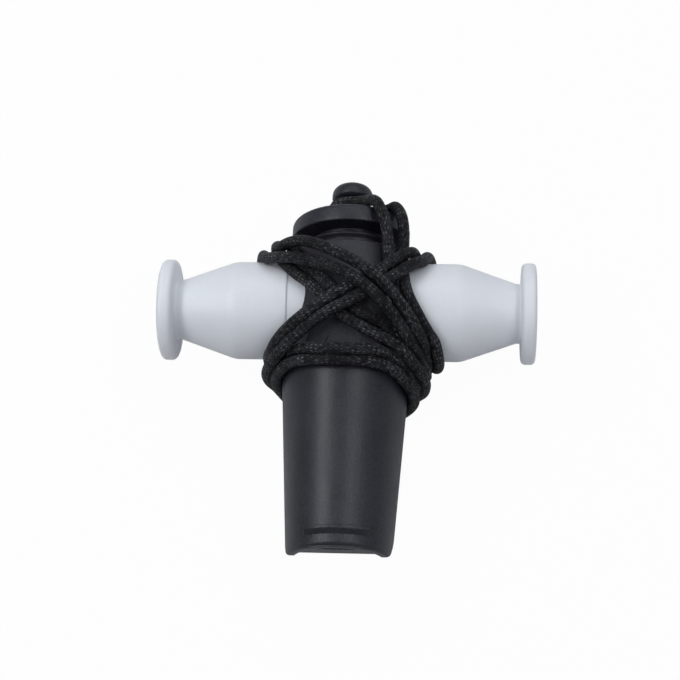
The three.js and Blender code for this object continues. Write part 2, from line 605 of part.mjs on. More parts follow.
function piece(name, geometry, finish) {
  const mesh = new THREE.Mesh(geometry, new THREE.MeshStandardMaterial(finish));
  mesh.name = name;
  return mesh;
}

const whistle = new THREE.Group();
whistle.add(piece('body_shell', toGeometry(bodyShell()), BLACK_PLASTIC));
whistle.add(piece('windway_block', toGeometry(windwayBlock()), BLACK_PLASTIC));
whistle.add(piece('stopper', turned(stopperProfile(), SLIM_SIDES), BLACK_PLASTIC));
for (const [name, turn] of [['left_barrel', Math.PI / 2], ['right_barrel', -Math.PI / 2]]) {
  const barrel = piece(name, turned(barrelProfile(), SLIM_SIDES), WHITE_PLASTIC);
  barrel.rotation.z = turn;
  whistle.add(barrel);
}
whistle.add(piece('lanyard', toGeometry(restedLanyard()), BLACK_CORD));
whistle.add(piece('lanyard_knot', toGeometry(lanyardKnot()), BLACK_CORD));

// The origin is the middle of the whistle's box without its lanyard
whistle.position.y = (MOUTH_DROP - KNOB_TOP) / 2;
const part = new THREE.Group();
part.add(whistle);

export default part;
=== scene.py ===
"""Samba whistle with its lanyard wound round it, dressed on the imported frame."""
import math

import bmesh
import bpy
import numpy as np
from mathutils import Matrix, Vector


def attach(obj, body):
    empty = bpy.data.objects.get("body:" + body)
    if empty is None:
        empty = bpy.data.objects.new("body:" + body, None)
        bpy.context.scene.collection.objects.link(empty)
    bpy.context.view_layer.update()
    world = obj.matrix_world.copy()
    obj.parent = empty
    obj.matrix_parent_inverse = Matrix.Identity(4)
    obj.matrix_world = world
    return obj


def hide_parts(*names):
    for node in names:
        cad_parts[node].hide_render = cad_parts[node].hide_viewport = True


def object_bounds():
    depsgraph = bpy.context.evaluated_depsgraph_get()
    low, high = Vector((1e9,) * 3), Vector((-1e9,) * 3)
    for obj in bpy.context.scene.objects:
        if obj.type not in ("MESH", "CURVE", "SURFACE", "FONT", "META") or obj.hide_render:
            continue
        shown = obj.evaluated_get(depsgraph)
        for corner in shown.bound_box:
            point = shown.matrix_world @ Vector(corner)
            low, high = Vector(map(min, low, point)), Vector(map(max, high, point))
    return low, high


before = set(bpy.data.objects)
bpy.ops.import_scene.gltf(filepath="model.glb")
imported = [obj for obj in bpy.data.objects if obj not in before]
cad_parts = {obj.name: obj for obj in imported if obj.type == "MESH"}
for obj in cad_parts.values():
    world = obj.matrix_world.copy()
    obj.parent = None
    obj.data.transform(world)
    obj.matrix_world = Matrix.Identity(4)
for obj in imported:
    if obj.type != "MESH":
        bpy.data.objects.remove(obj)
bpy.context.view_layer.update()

MM = 0.001
TINY = 1e-9

# Camera, fitted to the photograph: its place in metres, its two image axes and its field of view
CAMERA_PLACE = (0.02366, -0.12953, 0.34178)
CAMERA_RIGHT = (0.9976, 0.0377, -0.0585)
CAMERA_UP = (-0.0135, 0.9294, 0.3688)
CAMERA_ANGLE = 0.3796
CAMERA_NEAR = 0.01

# Body. The pieces are given in millimetres from the crossing of the body's and the barrels' axes.
AXIS_Y = 12.07
BODY_RADIUS = 13.0
BODY_TOP = 11.0
TAPER_Y = -17.0
MOUTH_Y = -53.3
MOUTH_RADIUS = 10.66
COLLAR_RADIUS = 10.25
COLLAR_TOP = 14.07

# Cuts in the body: the step in the mouth's upper edge and the waist under the collar's rim
MOUTH_STEP_Y = -52.9
MOUTH_STEP_Z = 9.9
MOUTH_STEP_CURVE = 14.5
MOUTH_STEP_SLOPE = 0.6
MOUTH_STEP_RISE = 4.0
MOUTH_STEP_SLICES = 49
COLLAR_RIM = 0.6
COLLAR_WAIST = 9.3
CUT_MARGIN = 1.0

# Stopper
FLANGE_RADIUS = 12.47
FLANGE_BOTTOM = 15.55
FLANGE_TOP = 19.36
NECK_RADIUS = 2.2
KNOB_BASE = 25.56
KNOB_RADIUS = 4.35
KNOB_TOP = 29.16
KNOB_UNDERCUT = 0.5
KNOB_CHAMFER = 0.4
KNOB_SIDE = 0.9
DOME_POWERS = (0.6, 0.85)
DOME_STEPS = 14
PLUG_RADIUS = 8.15
PLUG_FOOT = 10.47
PLUG_CORE = 6.2
PLUG_ROOF = 16.76

# Barrels
BARREL_RADIUS = 10.2
BARREL_NECK = 6.2
BARREL_BORE = 8.35
BORE_SEAM = 14.5
SPIGOT_RADIUS = 9.75
SPIGOT_END = 4.5
SHOULDER = 12.1
BELLY_END = 23.5
CONE_END = 35.0
BARREL_FLANGE = 36.0
BARREL_REACH = 39.0
BARREL_FLANGE_RADIUS = 10.56
FINGER_HOLE = 4.4

# Meshes: sides of a turned piece, merging distances in metres, and the angle of a sharp edge
TURNED_SIDES = 160
MERGE_TURNED = 1e-7
MERGE_CAD = 1e-6
SHARP_ANGLE = math.radians(28)

# Lanyard: its core, its gaps, and the fuller tube that shows its cover
CORD_DIAMETER = 2.0
CORD_GAP = 0.49
CORD_REST = 0.36
CORD_STEP = 2.0
CORD_FULLNESS = 2.4
CORD_SIDES = 26
CORD_RING_STEP = 0.36
CORD_END_SHARES = (0.55, 0.9)
CORD_FIRST_SIDE = (0.3, 0.5, 0.8)

# Knot: its centre, the half axes, climb and overlap of its wrap, and the way of the right strand
KNOT_CENTRE = (13.6, 1.2, -13.2)
KNOT_WRAP = (2.15, 1.45)
KNOT_TURNS = 2
KNOT_OVERLAP = 0.6
KNOT_CLIMB = 1.35
KNOT_POINTS = 60
KNOT_ENTRY = (0, -0.3, 0)
KNOT_STRAND = [(1.0, -0.8, 0), (1.3, 1.8, 0), (2.0, 4.4, 0.2)]

# Settling of the laid cord: rounds, longest step, and the pulls in the first and the last round
SETTLE_ROUNDS = 400
SETTLE_STEP = 0.5
HOLD = (0.1, 0.01)
TIGHTEN = (0.15, 0.03)
LIFT_OFF = 0.8
PUSH_APART = 0.35
CORD_NEAR = 1.6

# Plastic: scales of its noise per metre, and the spans and shares taken from it
NOISE_SPAN = (0.3, 0.7)
TONE_SCALE = 90.0
TONE_DETAIL = 3.0
TONE_SPAN = (0.35, 0.65)
GLOSS_SPAN = (-0.05, 0.06)
GRAIN_SCALE = 2100.0
GRAIN_SHARE = 0.6
GRAIN_STRENGTH = 0.5
SPECK_SCALE = 230.0
SPECK_EDGE = (0.018, 0.03)
SPECK_RARE = 0.93
EDGE_SAMPLES = 6
BLACK_PLASTIC = {
    "Dark": (0.005, 0.0047, 0.009, 1), "Light": (0.0195, 0.0185, 0.0285, 1),
    "Speck": (0.12, 0.12, 0.13, 1), "Roughness": 0.42, "Grain": 0.1 * MM, "Edge": 0.25 * MM,
}
WHITE_PLASTIC = {
    "Dark": (0.747, 0.762, 0.797, 1), "Light": (0.775, 0.79, 0.826, 1),
    "Speck": (0.65, 0.65, 0.66, 1), "Roughness": 0.38, "Grain": 0.008 * MM, "Edge": 0.25 * MM,
}
WHITE_SUBSURFACE = 0.2
SUBSURFACE_RADIUS = (1.0, 0.95, 0.9)
SUBSURFACE_SCALE = 2.0 * MM

# Braid: bands round the cord, length of a cell, relief, unevenness, filaments, patches and strokes
# of painted glint, and painted shade in the gaps
BRAID_BANDS = 12
BRAID_CELL = 1.0
BRAID_RELIEF = 0.2 * MM
BRAID_SHIFT_SCALE = 420.0
BRAID_SHIFT = (-0.3, 0.3)
BAND_CROWN = 1.0
BAND_SAG = 0.5
FILAMENTS = 4
FILAMENT_HEIGHT = 0.06
GLINT_PATCH_SCALE = 170.0
GLINT_PATCH_DETAIL = 3.0
GLINT_PATCH_SPAN = (0.34, 0.62)
GLINT_PATCH_CHANCE = (0.25, 1.0)
GLINT_POWER = 1.6
GLINT_SHARES = (0.35, 1.0)
GAP_SHADE_SPAN = (0.35, 0.95)
# Painted shade in the braid's gaps, the yarn's own colour, and painted glint on the cells' crowns
CORD_PAINTED_SHADE = (0.002, 0.002, 0.0025, 1)
CORD_YARN = (0.0055, 0.0055, 0.0066, 1)
CORD_PAINTED_GLINT = (0.155, 0.155, 0.168, 1)
CORD_SPECULAR = 0.16
CORD_ROUGHNESS = 0.55

# Stage. The surround grows brighter with SURROUND_LEAN y + z of the direction.
FLOOR_HALF = 3.0
FLOOR_GREY = (0.74, 0.74, 0.74, 1)
FLOOR_ROUGHNESS = 0.9
FLOOR_WHITE = 0.965
DAYLIGHT = (0.93, 0.96, 1.0)
SURROUND_LEAN = 2.0
SURROUND_SPAN = (-1.3, 1.2)
SURROUND_GLOW = (0.18, 0.35)

# Softboxes: name, direction from the whistle, distance and size in metres, and power in watts
SOFTBOXES = [
    ("left_box", (-0.55, 0.02, 0.835), 0.6, (0.17, 0.5), 1.5),
    ("right_box", (0.407, 0.02, 0.914), 0.6, (0.13, 0.5), 0.9),
    ("top_box", (0.1, 0.9, 0.9), 0.8, (0.6, 0.3), 0.8),
    ("front_box", (0.05, -0.55, 0.85), 0.8, (0.5, 0.4), 0.3),
]

# Route of the lanyard: a cord folded in two, hitched round the knob's neck by its fold.
# Each strand runs from the neck to the knot behind the right barrel.
NECK_HITCH = [
    (2.3, 23.3, 4.8), (-0.1, 23.8, 3.9), (-3.3, 23.9, 3.4), (-4.6, 23.5, 0.4), (-3.3, 23.3, -2.8),
    (0, 23.1, -3.7),
]
STRAND_ONE = [
    # down the front, right of the window, and under the right barrel
    (4.7, 21.1, 10.1), (6.8, 17.6, 13.7), (8.1, 14.6, 13.4), (8.6, 9.2, 12), (8.6, 5.6, 11.8),
    (9.2, 2.1, 11.4), (10.6, -1.8, 11.1), (12.7, -5.3, 10), (15, -8.4, 8), (13.9, -11.3, 4.6),
    (14.6, -11.8, 0),
    # up across the back and over the left barrel
    (14.5, -11.7, -4.5), (12.8, -9.8, -9.4), (8, -6, -12.6), (1.9, -1.5, -14.4), (-3.9, 3, -13.9),
    (-10.1, 7, -11.1), (-13.6, 9.8, -7.6), (-14.6, 11.6, -2), (-14.5, 10.9, 4.6),
    # down across the front, above the lip, to the right side
    (-13.7, 7.6, 9), (-11.8, 5.2, 10.4), (-8.5, 2.6, 11.8), (-5.1, -1.2, 13.4),
    (-2.5, -4.5, 14.1), (0, -7, 14.4), (2.6, -8.4, 14.2), (5, -9.5, 13.6), (7.9, -10.5, 12.6),
    (10.2, -11.5, 12.4), (12.7, -13.1, 10.8), (14.3, -14.3, 7.2), (15.1, -15.5, 1.5),
    (15.1, -16.2, -4.8),
    # level across the back
    (11.8, -16, -11), (6.3, -17, -15.2), (0, -17.5, -14.6), (-6.5, -17.1, -13),
    (-11.4, -16.5, -9),
    # level across the front, below the window
    (-14.1, -16.1, -3.5), (-14, -15.4, 3.5), (-12.4, -15.1, 7.7), (-9.7, -15, 10.9),
    (-6.2, -15.5, 13.2), (-1, -15.9, 14.3), (4, -15.8, 14), (7.2, -15.8, 12.7),
    (9.8, -15.9, 10.7), (11.8, -17, 7.6), (13.8, -18.9, 2.5),
    # across the back again and up the left side
    (13.3, -19.1, -4.6), (10.4, -19.4, -9.9), (5.1, -20.8, -13.3), (-1.5, -22, -14.1),
    (-7, -20, -13.2), (-11.8, -16.2, -13), (-14.8, -13.8, -8.5), (-15.9, -14.2, -2.5),
    (-15.2, -14.4, 4), (-13.9, -13.8, 9.3),
    # up across the front and over the right barrel
    (-11.9, -12.6, 13), (-8.7, -10.3, 15.1), (-5.7, -8.2, 16.2), (-2.5, -6.2, 16.7),
    (1.4, -4.4, 16.8), (4.2, -2.5, 16.5), (6.9, -0.6, 15.7), (9.4, 1.7, 14.6), (12, 4, 13.6),
    (14.6, 6.9, 11.3), (15.9, 7.8, 8), (16.5, 8.9, 3),
    # level across the back, above the barrels, and over the left one
    (17.4, 11, -3.4), (15.5, 8.6, -8.2), (9.2, 6.5, -11.6), (1.9, 6, -14.4), (-4.7, 6.3, -15.5),
    (-10.1, 7.5, -14.3), (-16, 8.8, -10.2), (-19.2, 11.1, -3.9), (-18.2, 10.3, 2.5),
    (-17, 8.1, 8.4),
    # down across the front on top of the rest, and under the right barrel to the knot
    (-15.1, 7.3, 11.2), (-11.8, 6.5, 13.7), (-8.3, 5.2, 15.2), (-4.5, 3.6, 16.8),
    (-0.7, 1.6, 18.5), (2.7, -0.5, 19.3), (5.5, -2.4, 18.9), (7.9, -4.7, 17.7), (10.3, -7, 15.5),
    (12.4, -9.3, 13), (13.6, -11.7, 9.9), (14.6, -13.7, 5.6), (15.5, -14, 0.5),
    (14.9, -13.9, -5.4), (14.4, -11.8, -10.6), (12.9, -7.5, -13.2), (12.2, -2.2, -13.2),
]
STRAND_TWO = [
    # off the neck, down the front and under the right barrel
    (3.2, 23, -2.9), (5.6, 22.3, 1.5), (8.2, 20.7, 6.2), (10.7, 19.1, 9.3), (11.6, 16.6, 10),
    (11.7, 13.8, 9.8), (11.6, 10.7, 9.6), (11.5, 7.1, 9.7), (11.8, 2.9, 10.8), (12.3, -1.1, 11.5),
    (14.5, -4.5, 10.5), (16.6, -7.4, 8.6), (18.1, -10, 5.8), (18.5, -11.6, 0.5),
    # up across the back and over the left barrel
    (18.4, -10.9, -4.6), (16.2, -8.2, -9), (10.9, -3.5, -11.2), (5.3, 1, -13.8), (-1, 5.2, -14.4),
    (-6.5, 9.6, -13), (-10.3, 12.4, -7.2), (-11.8, 12.8, -1.5), (-11.9, 12.7, 4.2),
    # down across the front, above the lip, to the right side
    (-11.5, 9.9, 9.9), (-9.5, 5.6, 11.2), (-6.6, 3.8, 12.9), (-4, 1.4, 13.9), (-2, -1.4, 14.2),
    (-0.2, -4.1, 14.3), (2, -5.4, 14.3), (4.6, -6.1, 13.7), (7.6, -7.1, 12.4), (10.1, -8.5, 11.2),
    (12.3, -11, 9.8), (13.9, -13.3, 6.4), (14.4, -14, 1.5), (13.7, -14.1, -4.6),
    # level across the back
    (11.2, -14.6, -9.3), (6, -14.6, -13.2), (0, -14.6, -14.5), (-6.5, -14.3, -13),
    (-11.4, -13.7, -9.1),
    # level across the front, over the window
    (-14.2, -13.3, -3), (-14.3, -13.9, 3.7), (-13, -13.1, 7.2), (-10.2, -12.8, 10.5),
    (-7.2, -13.6, 13.6), (-2.2, -14.6, 16), (2.6, -14.5, 16), (7.3, -13.9, 13.9),
    (10.6, -14.2, 10.2), (12.5, -15.7, 7), (14.1, -16.4, 2),
    # across the back again and up the left side
    (13.6, -16.6, -4.5), (10.8, -17, -9.8), (5.6, -18.2, -13.3), (-1, -19.4, -14.4),
    (-6, -17.6, -15.9), (-11.5, -14.4, -13.8), (-15, -11.8, -8.3), (-15.7, -11.9, -2),
    (-15.5, -12, 4), (-14.1, -11.9, 10.2),
    # up across the front and over the right barrel
    (-12.1, -10.6, 13.5), (-9.7, -9, 15.5), (-6.9, -6.9, 16.7), (-4.2, -4.3, 16.6),
    (-1, -2.3, 16.9), (1.5, -0.9, 16.8), (4.2, 0.7, 16.5), (6.9, 2.7, 15.6), (9.4, 5.1, 14.5),
    (11.6, 7.9, 12.5), (13.4, 9.9, 9), (13.8, 11.3, 3.4),
    # level across the back, above the barrels, and over the left one
    (14, 11.4, -3), (11.5, 10.7, -8.6), (5.8, 9.6, -13.1), (0, 9.6, -14.4), (-5.3, 11, -14.3),
    (-11.5, 12.6, -11.5), (-15.2, 12.8, -5.8), (-15.2, 13, 1.5), (-14.2, 10.5, 7.6),
    # down across the front on top of the rest, and under the right barrel to the knot
    (-12.6, 9.9, 12.4), (-9.6, 9.6, 15.4), (-5.2, 7.7, 17.2), (-1.1, 5.1, 18.9), (2.6, 2.9, 19.3),
    (5.6, 1.2, 18.9), (8.6, -1.2, 17.7), (11.2, -3.8, 15.3), (13.7, -7, 13.6), (15.3, -9.6, 10.8),
    (16.2, -11.2, 6.6), (16.3, -11.8, 0.5), (16.4, -12.4, -4.5), (16.4, -11, -9.4),
    (16.2, -7.6, -12.3), (15.2, -2.9, -13),
]


def in_scene(name, data):
    """New object with the given data, linked to the scene."""
    made = bpy.data.objects.new(name, data)
    bpy.context.scene.collection.objects.link(made)
    return made


def make_camera():
    """Camera at the photograph's place, looking along -Z of its own frame."""
    right = Vector(CAMERA_RIGHT).normalized()
    up = Vector(CAMERA_UP)
    up = (up - right * up.dot(right)).normalized()
    turn = Matrix((right, up, right.cross(up))).transposed()
    data = bpy.data.cameras.new("camera")
    data.angle = CAMERA_ANGLE
    data.clip_start = CAMERA_NEAR
    camera = in_scene("camera", data)
    camera.matrix_world = Matrix.Translation(CAMERA_PLACE) @ turn.to_4x4()
    bpy.context.scene.camera = camera


def in_frame(points):
    """Places in the frame, in metres, of points in millimetres from the crossing of the axes."""
    return (np.asarray(points, float) + (0, AXIS_Y, 0)) * MM


def lengths_along(path):
    """Length of a polyline up to each of its points."""
    return np.concatenate([[0], np.cumsum(np.linalg.norm(np.diff(path, axis=0), axis=1))])


def spaced(points, step):
    """Points at an even step along a polyline."""
    along = lengths_along(points)
    stops = np.linspace(0, along[-1], int(round(along[-1] / step)) + 1)
    return np.stack([np.interp(stops, along, places) for places in points.T], axis=1)


def smooth_curve(points, step, fine=12):
    """Centripetal Catmull-Rom curve: the knots t grow by the root of each chord, and each stretch
    from p1 to p2 is a pyramid of blends ((t' - t) p + (t - t'') q) / (t' - t'') of p0 to p3."""
    ends = np.vstack([2 * points[0] - points[1], points, 2 * points[-1] - points[-2]])
    p0, p1, p2, p3 = [ends[k:len(ends) - 3 + k, None, :] for k in range(4)]
    t0 = np.zeros((len(points) - 1, 1, 1))
    t1 = t0 + np.sqrt(np.linalg.norm(p1 - p0, axis=2, keepdims=True))
    t2 = t1 + np.sqrt(np.linalg.norm(p2 - p1, axis=2, keepdims=True))
    t3 = t2 + np.sqrt(np.linalg.norm(p3 - p2, axis=2, keepdims=True))
    t = t1 + (t2 - t1) * np.linspace(0, 1, fine, endpoint=False)[None, :, None]

    def blend(first, second, low, high):
        return ((high - t) * first + (t - low) * second) / (high - low)

    a1, a2, a3 = blend(p0, p1, t0, t1), blend(p1, p2, t1, t2), blend(p2, p3, t2, t3)
    b1, b2 = blend(a1, a2, t0, t2), blend(a2, a3, t1, t3)
    curve = blend(b1, b2, t1, t2).reshape(-1, 3)
    return spaced(np.vstack([curve, points[-1:]]), step)


def round_step(across, along, radius, low, high, clear):
    """Steps outward and along the axis that take points off a round solid until they are clear."""
    middle = (low + high) / 2
    side = across - radius
    end = np.abs(along - middle) - (high - low) / 2
    corner = (side > 0) & (end > 0)
    reach = np.hypot(np.maximum(side, 0), np.maximum(end, 0)) + TINY
    need = np.maximum(clear - np.where(corner, reach, np.maximum(side, end)), 0)
    outward = np.where(corner, side / reach, side >= end)
    endward = np.where(corner, end / reach, side < end) * np.sign(along - middle)
    return need * outward, need * endward


def step_off_whistle(points, clear):
    """Steps that take cord points off the turned pieces and off the two barrels."""
    x, y, z = points.T
    cone = (BODY_RADIUS - MOUTH_RADIUS) / (TAPER_Y - MOUTH_Y)
    turned_pieces = [
        (BODY_RADIUS + np.minimum(y - TAPER_Y, 0) * cone, MOUTH_Y, BODY_TOP),
        (COLLAR_RADIUS, BODY_TOP, COLLAR_TOP),
        (FLANGE_RADIUS, FLANGE_BOTTOM, FLANGE_TOP),
        (NECK_RADIUS, FLANGE_TOP, KNOB_BASE),
        (KNOB_RADIUS, KNOB_BASE, KNOB_TOP),
    ]
    steps = np.zeros_like(points)
    across = np.hypot(x, z) + TINY
    for radius, low, high in turned_pieces:
        outward, endward = round_step(across, y, radius, low, high, clear)
        steps += np.stack([outward * x / across, endward, outward * z / across], axis=1)
    across = np.hypot(y, z) + TINY
    outward, endward = round_step(across, np.abs(x), BARREL_RADIUS, SPIGOT_END, BELLY_END, clear)
    steps += np.stack([endward * np.sign(x), outward * y / across, outward * z / across], axis=1)
    return steps


def settled_cord():
    """Draws the laid cord tight bit by bit and keeps its strands apart and off the whistle."""
    home = smooth_curve(np.array(STRAND_ONE[::-1] + NECK_HITCH + STRAND_TWO, float), CORD_STEP)
    points = home.copy()
    spacing = CORD_DIAMETER + CORD_GAP
    order = np.arange(len(points))
    near = math.ceil(spacing * CORD_NEAR / CORD_STEP)
    neighbours = np.abs(order[:, None] - order[None]) <= near
    for turn in range(SETTLE_ROUNDS):
        share = turn / SETTLE_ROUNDS
        hold, tighten = [np.interp(share, (0, 1), pull) for pull in (HOLD, TIGHTEN)]
        steps = hold * (home - points)
        steps[1:-1] += tighten * ((points[:-2] + points[2:]) / 2 - points[1:-1])
        steps += LIFT_OFF * step_off_whistle(points, CORD_DIAMETER / 2 + CORD_REST)
        gaps = points[:, None] - points[None]
        distance = np.linalg.norm(gaps, axis=2) + TINY
        push = np.where(neighbours, 0, np.maximum(spacing - distance, 0) / distance)
        steps += PUSH_APART * (push[..., None] * gaps).sum(axis=1)
        size = np.linalg.norm(steps, axis=1, keepdims=True)
        points = points + steps * np.minimum(1, SETTLE_STEP / np.maximum(size, TINY))
    return points


def mesh_object(name, points, faces, uv=None, smooth=True):
    """Object at the origin from points in millimetres from the crossing of the axes."""
    mesh = bpy.data.meshes.new(name)
    mesh.from_pydata(in_frame(points).tolist(), [], [list(map(int, face)) for face in faces])
    if uv is not None:
        layer = mesh.uv_layers.new(name="UVMap")
        layer.data.foreach_set("uv", np.asarray(uv, np.float32).ravel())
    mesh.polygons.foreach_set("use_smooth", [smooth] * len(mesh.polygons))
    return in_scene(name, mesh)


def face_outward(mesh):
    """Merges a mesh's doubled corners and turns its faces outward."""
    work = bmesh.new()
    work.from_mesh(mesh)
    bmesh.ops.remove_doubles(work, verts=work.verts, dist=MERGE_TURNED)
    bmesh.ops.recalc_face_normals(work, faces=work.faces)
    work.to_mesh(mesh)
    work.free()


def ring_faces(rings, sides):
    """Quads between neighbouring rings: (i, k), (i, k + 1), (i + 1, k + 1), (i + 1, k)."""
    i, k = [grid.ravel() for grid in np.mgrid[:rings - 1, :sides]]
    here, there, after = i * sides, (i + 1) * sides, (k + 1) % sides
    return np.stack([here + k, here + after, there + after, there + k], axis=1)


def ring_caps(rings, sides):
    """Faces that close the first and the last ring of points."""
    ring = np.arange(sides)
    return [ring[::-1].tolist(), ((rings - 1) * sides + ring).tolist()]


def tube_parts(path):
    """Cord's tube p(s) + r (cos a n + sin a b) round a path, with n and b carried along it without
    twist. Its ends close in two small rounded steps. u is the share of a turn and v the length in
    braid cells."""
    sides = CORD_SIDES
    tangent = np.gradient(path, axis=0)
    tangent /= np.linalg.norm(tangent, axis=1, keepdims=True)
    side = np.cross(tangent[0], CORD_FIRST_SIDE)
    normals = np.zeros_like(path)
    for i, along in enumerate(tangent):
        side = side - along * side.dot(along)
        side /= np.linalg.norm(side)
        normals[i] = side
    radii = np.full(len(path), CORD_FULLNESS / 2)
    radii[[0, -1]] *= CORD_END_SHARES[0]
    radii[[1, -2]] *= CORD_END_SHARES[1]
    angle = np.linspace(0, 2 * np.pi, sides, endpoint=False)[None, :, None]
    ring = np.cos(angle) * normals[:, None] + np.sin(angle) * np.cross(tangent, normals)[:, None]
    points = (path[:, None] + radii[:, None, None] * ring).reshape(-1, 3)
    faces = ring_faces(len(path), sides)
    cells = lengths_along(path) / BRAID_CELL
    i, k = np.divmod(faces[:, 0], sides)
    low, high, start, end = k / sides, (k + 1) / sides, cells[i], cells[i + 1]
    uv = np.stack([low, start, high, start, high, end, low, end], axis=1).reshape(-1, 2)
    cap_u = np.tile(np.arange(sides) / sides, 2)
    cap_uv = np.stack([cap_u, np.repeat(cells[[0, -1]], sides)], axis=1)
    return points, faces.tolist() + ring_caps(len(path), sides), np.vstack([uv, cap_uv])


def joined(parts):
    """One set of points, faces and uv from several."""
    points, faces, uv, start = [], [], [], 0
    for part_points, part_faces, part_uv in parts:
        points.append(part_points)
        faces += [[start + n for n in face] for face in part_faces]
        uv.append(part_uv)
        start += len(part_points)
    return np.vstack(points), faces, np.vstack(uv)


def rounded_profile(corners, arc=7):
    """Polyline of (radius, height, fillet) corners. A fillet is an arc tangent to the two sides,
    centre + (sin((1 - s) w) start + sin(s w) end) / sin(w) over its sweep w."""
    spots = np.array([corner[:2] for corner in corners], float)
    out = [spots[0]]
    share = np.linspace(0, 1, arc)[:, None]
    for before, spot, after, (_, _, fillet) in zip(spots, spots[1:], spots[2:], corners[1:-1]):
        if fillet == 0:
            out.append(spot)
            continue
        inward = (before - spot) / np.linalg.norm(before - spot)
        onward = (after - spot) / np.linalg.norm(after - spot)
        half = math.acos(np.clip(inward.dot(onward), -1, 1)) / 2
        middle = inward + onward
        centre = spot + middle / np.linalg.norm(middle) * fillet / math.sin(half)
        start = spot + inward * fillet / math.tan(half) - centre
        end = spot + onward * fillet / math.tan(half) - centre
        sweep = math.acos(np.clip(start.dot(end) / fillet ** 2, -1, 1))
        swept = np.sin((1 - share) * sweep) * start + np.sin(share * sweep) * end
        out.extend(centre + swept / math.sin(sweep))
    out.append(spots[-1])
    return np.array(out)


def turned(name, profile, barrel_side=0):
    """Surface of revolution: (r cos a, h, r sin a) about Y, or for the barrel on side s
    (s h, r cos a, s r sin a) about X."""
    angle = np.linspace(0, 2 * np.pi, TURNED_SIDES, endpoint=False)
    radius, height = profile[:, 0, None], np.repeat(profile[:, 1, None], TURNED_SIDES, axis=1)
    first, second = radius * np.cos(angle), radius * np.sin(angle)
    if barrel_side:
        points = np.stack([height * barrel_side, first, second * barrel_side], axis=2)
    else:
        points = np.stack([first, height, second], axis=2)
    made = mesh_object(name, points.reshape(-1, 3), ring_faces(len(profile), TURNED_SIDES))
    face_outward(made.data)
    return made


class Nodes:
    """Short forms for building a node tree."""

    def __init__(self, tree):
        self.tree = tree

    def node(self, kind, **settings):
        made = self.tree.nodes.new(kind)
        for name, value in settings.items():
            setattr(made, name, value)
        return made

    def link(self, output, target):
        """Links an output to a socket, or sets a plain value on the socket."""
        if isinstance(output, (int, float, tuple)):
            target.default_value = output
        else:
            self.tree.links.new(output, target)

    def math(self, operation, first, second=0.0, third=0.0):
        made = self.node("ShaderNodeMath", operation=operation)
        for value, target in zip((first, second, third), made.inputs):
            self.link(value, target)
        return made.outputs[0]

    def noise(self, where, scale, detail=2.0):
        made = self.node("ShaderNodeTexNoise")
        self.link(where, made.inputs["Vector"])
        made.inputs["Scale"].default_value = scale
        made.inputs["Detail"].default_value = detail
        return made.outputs["Fac"]

    def red(self, colour):
        made = self.node("ShaderNodeSeparateColor")
        self.link(colour, made.inputs[0])
        return made.outputs[0]

    def pick(self, share, first, second):
        """first where share is 0, second where it is 1."""
        return self.math("MULTIPLY_ADD", share, self.math("SUBTRACT", second, first), first)

    def hump(self, value, depth):
        """1 - depth (2 value - 1)^2"""
        centred = self.math("MULTIPLY_ADD", value, 2.0, -1.0)
        square = self.math("MULTIPLY", centred, centred)
        return self.math("SUBTRACT", 1.0, self.math("MULTIPLY", square, depth))

    def span(self, value, low, high, out_low=0.0, out_high=1.0):
        """Value carried from one span to another, and held at its ends."""
        made = self.node("ShaderNodeMapRange")
        made.inputs["From Min"].default_value = low
        made.inputs["From Max"].default_value = high
        made.inputs["To Min"].default_value = out_low
        made.inputs["To Max"].default_value = out_high
        self.link(value, made.inputs["Value"])
        return made.outputs["Result"]

    def mix(self, share, first, second):
        made = self.node("ShaderNodeMix", data_type="RGBA")
        self.link(share, made.inputs["Factor"])
        self.link(first, made.inputs["A"])
        self.link(second, made.inputs["B"])
        return made.outputs["Result"]

    def bump(self, height, distance, strength=1.0, normal=None):
        made = self.node("ShaderNodeBump")
        made.inputs["Strength"].default_value = strength
        self.link(distance, made.inputs["Distance"])
        self.link(height, made.inputs["Height"])
        if normal is not None:
            self.link(normal, made.inputs["Normal"])
        return made.outputs["Normal"]


def new_material(name):
    """Material with a bare Principled shader: its nodes, the shader and the object coordinates."""
    material = bpy.data.materials.new(name)
    material.use_nodes = True
    nodes = Nodes(material.node_tree)
    shader = material.node_tree.nodes["Principled BSDF"]
    where = nodes.node("ShaderNodeTexCoord").outputs["Object"]
    return material, nodes, shader, where


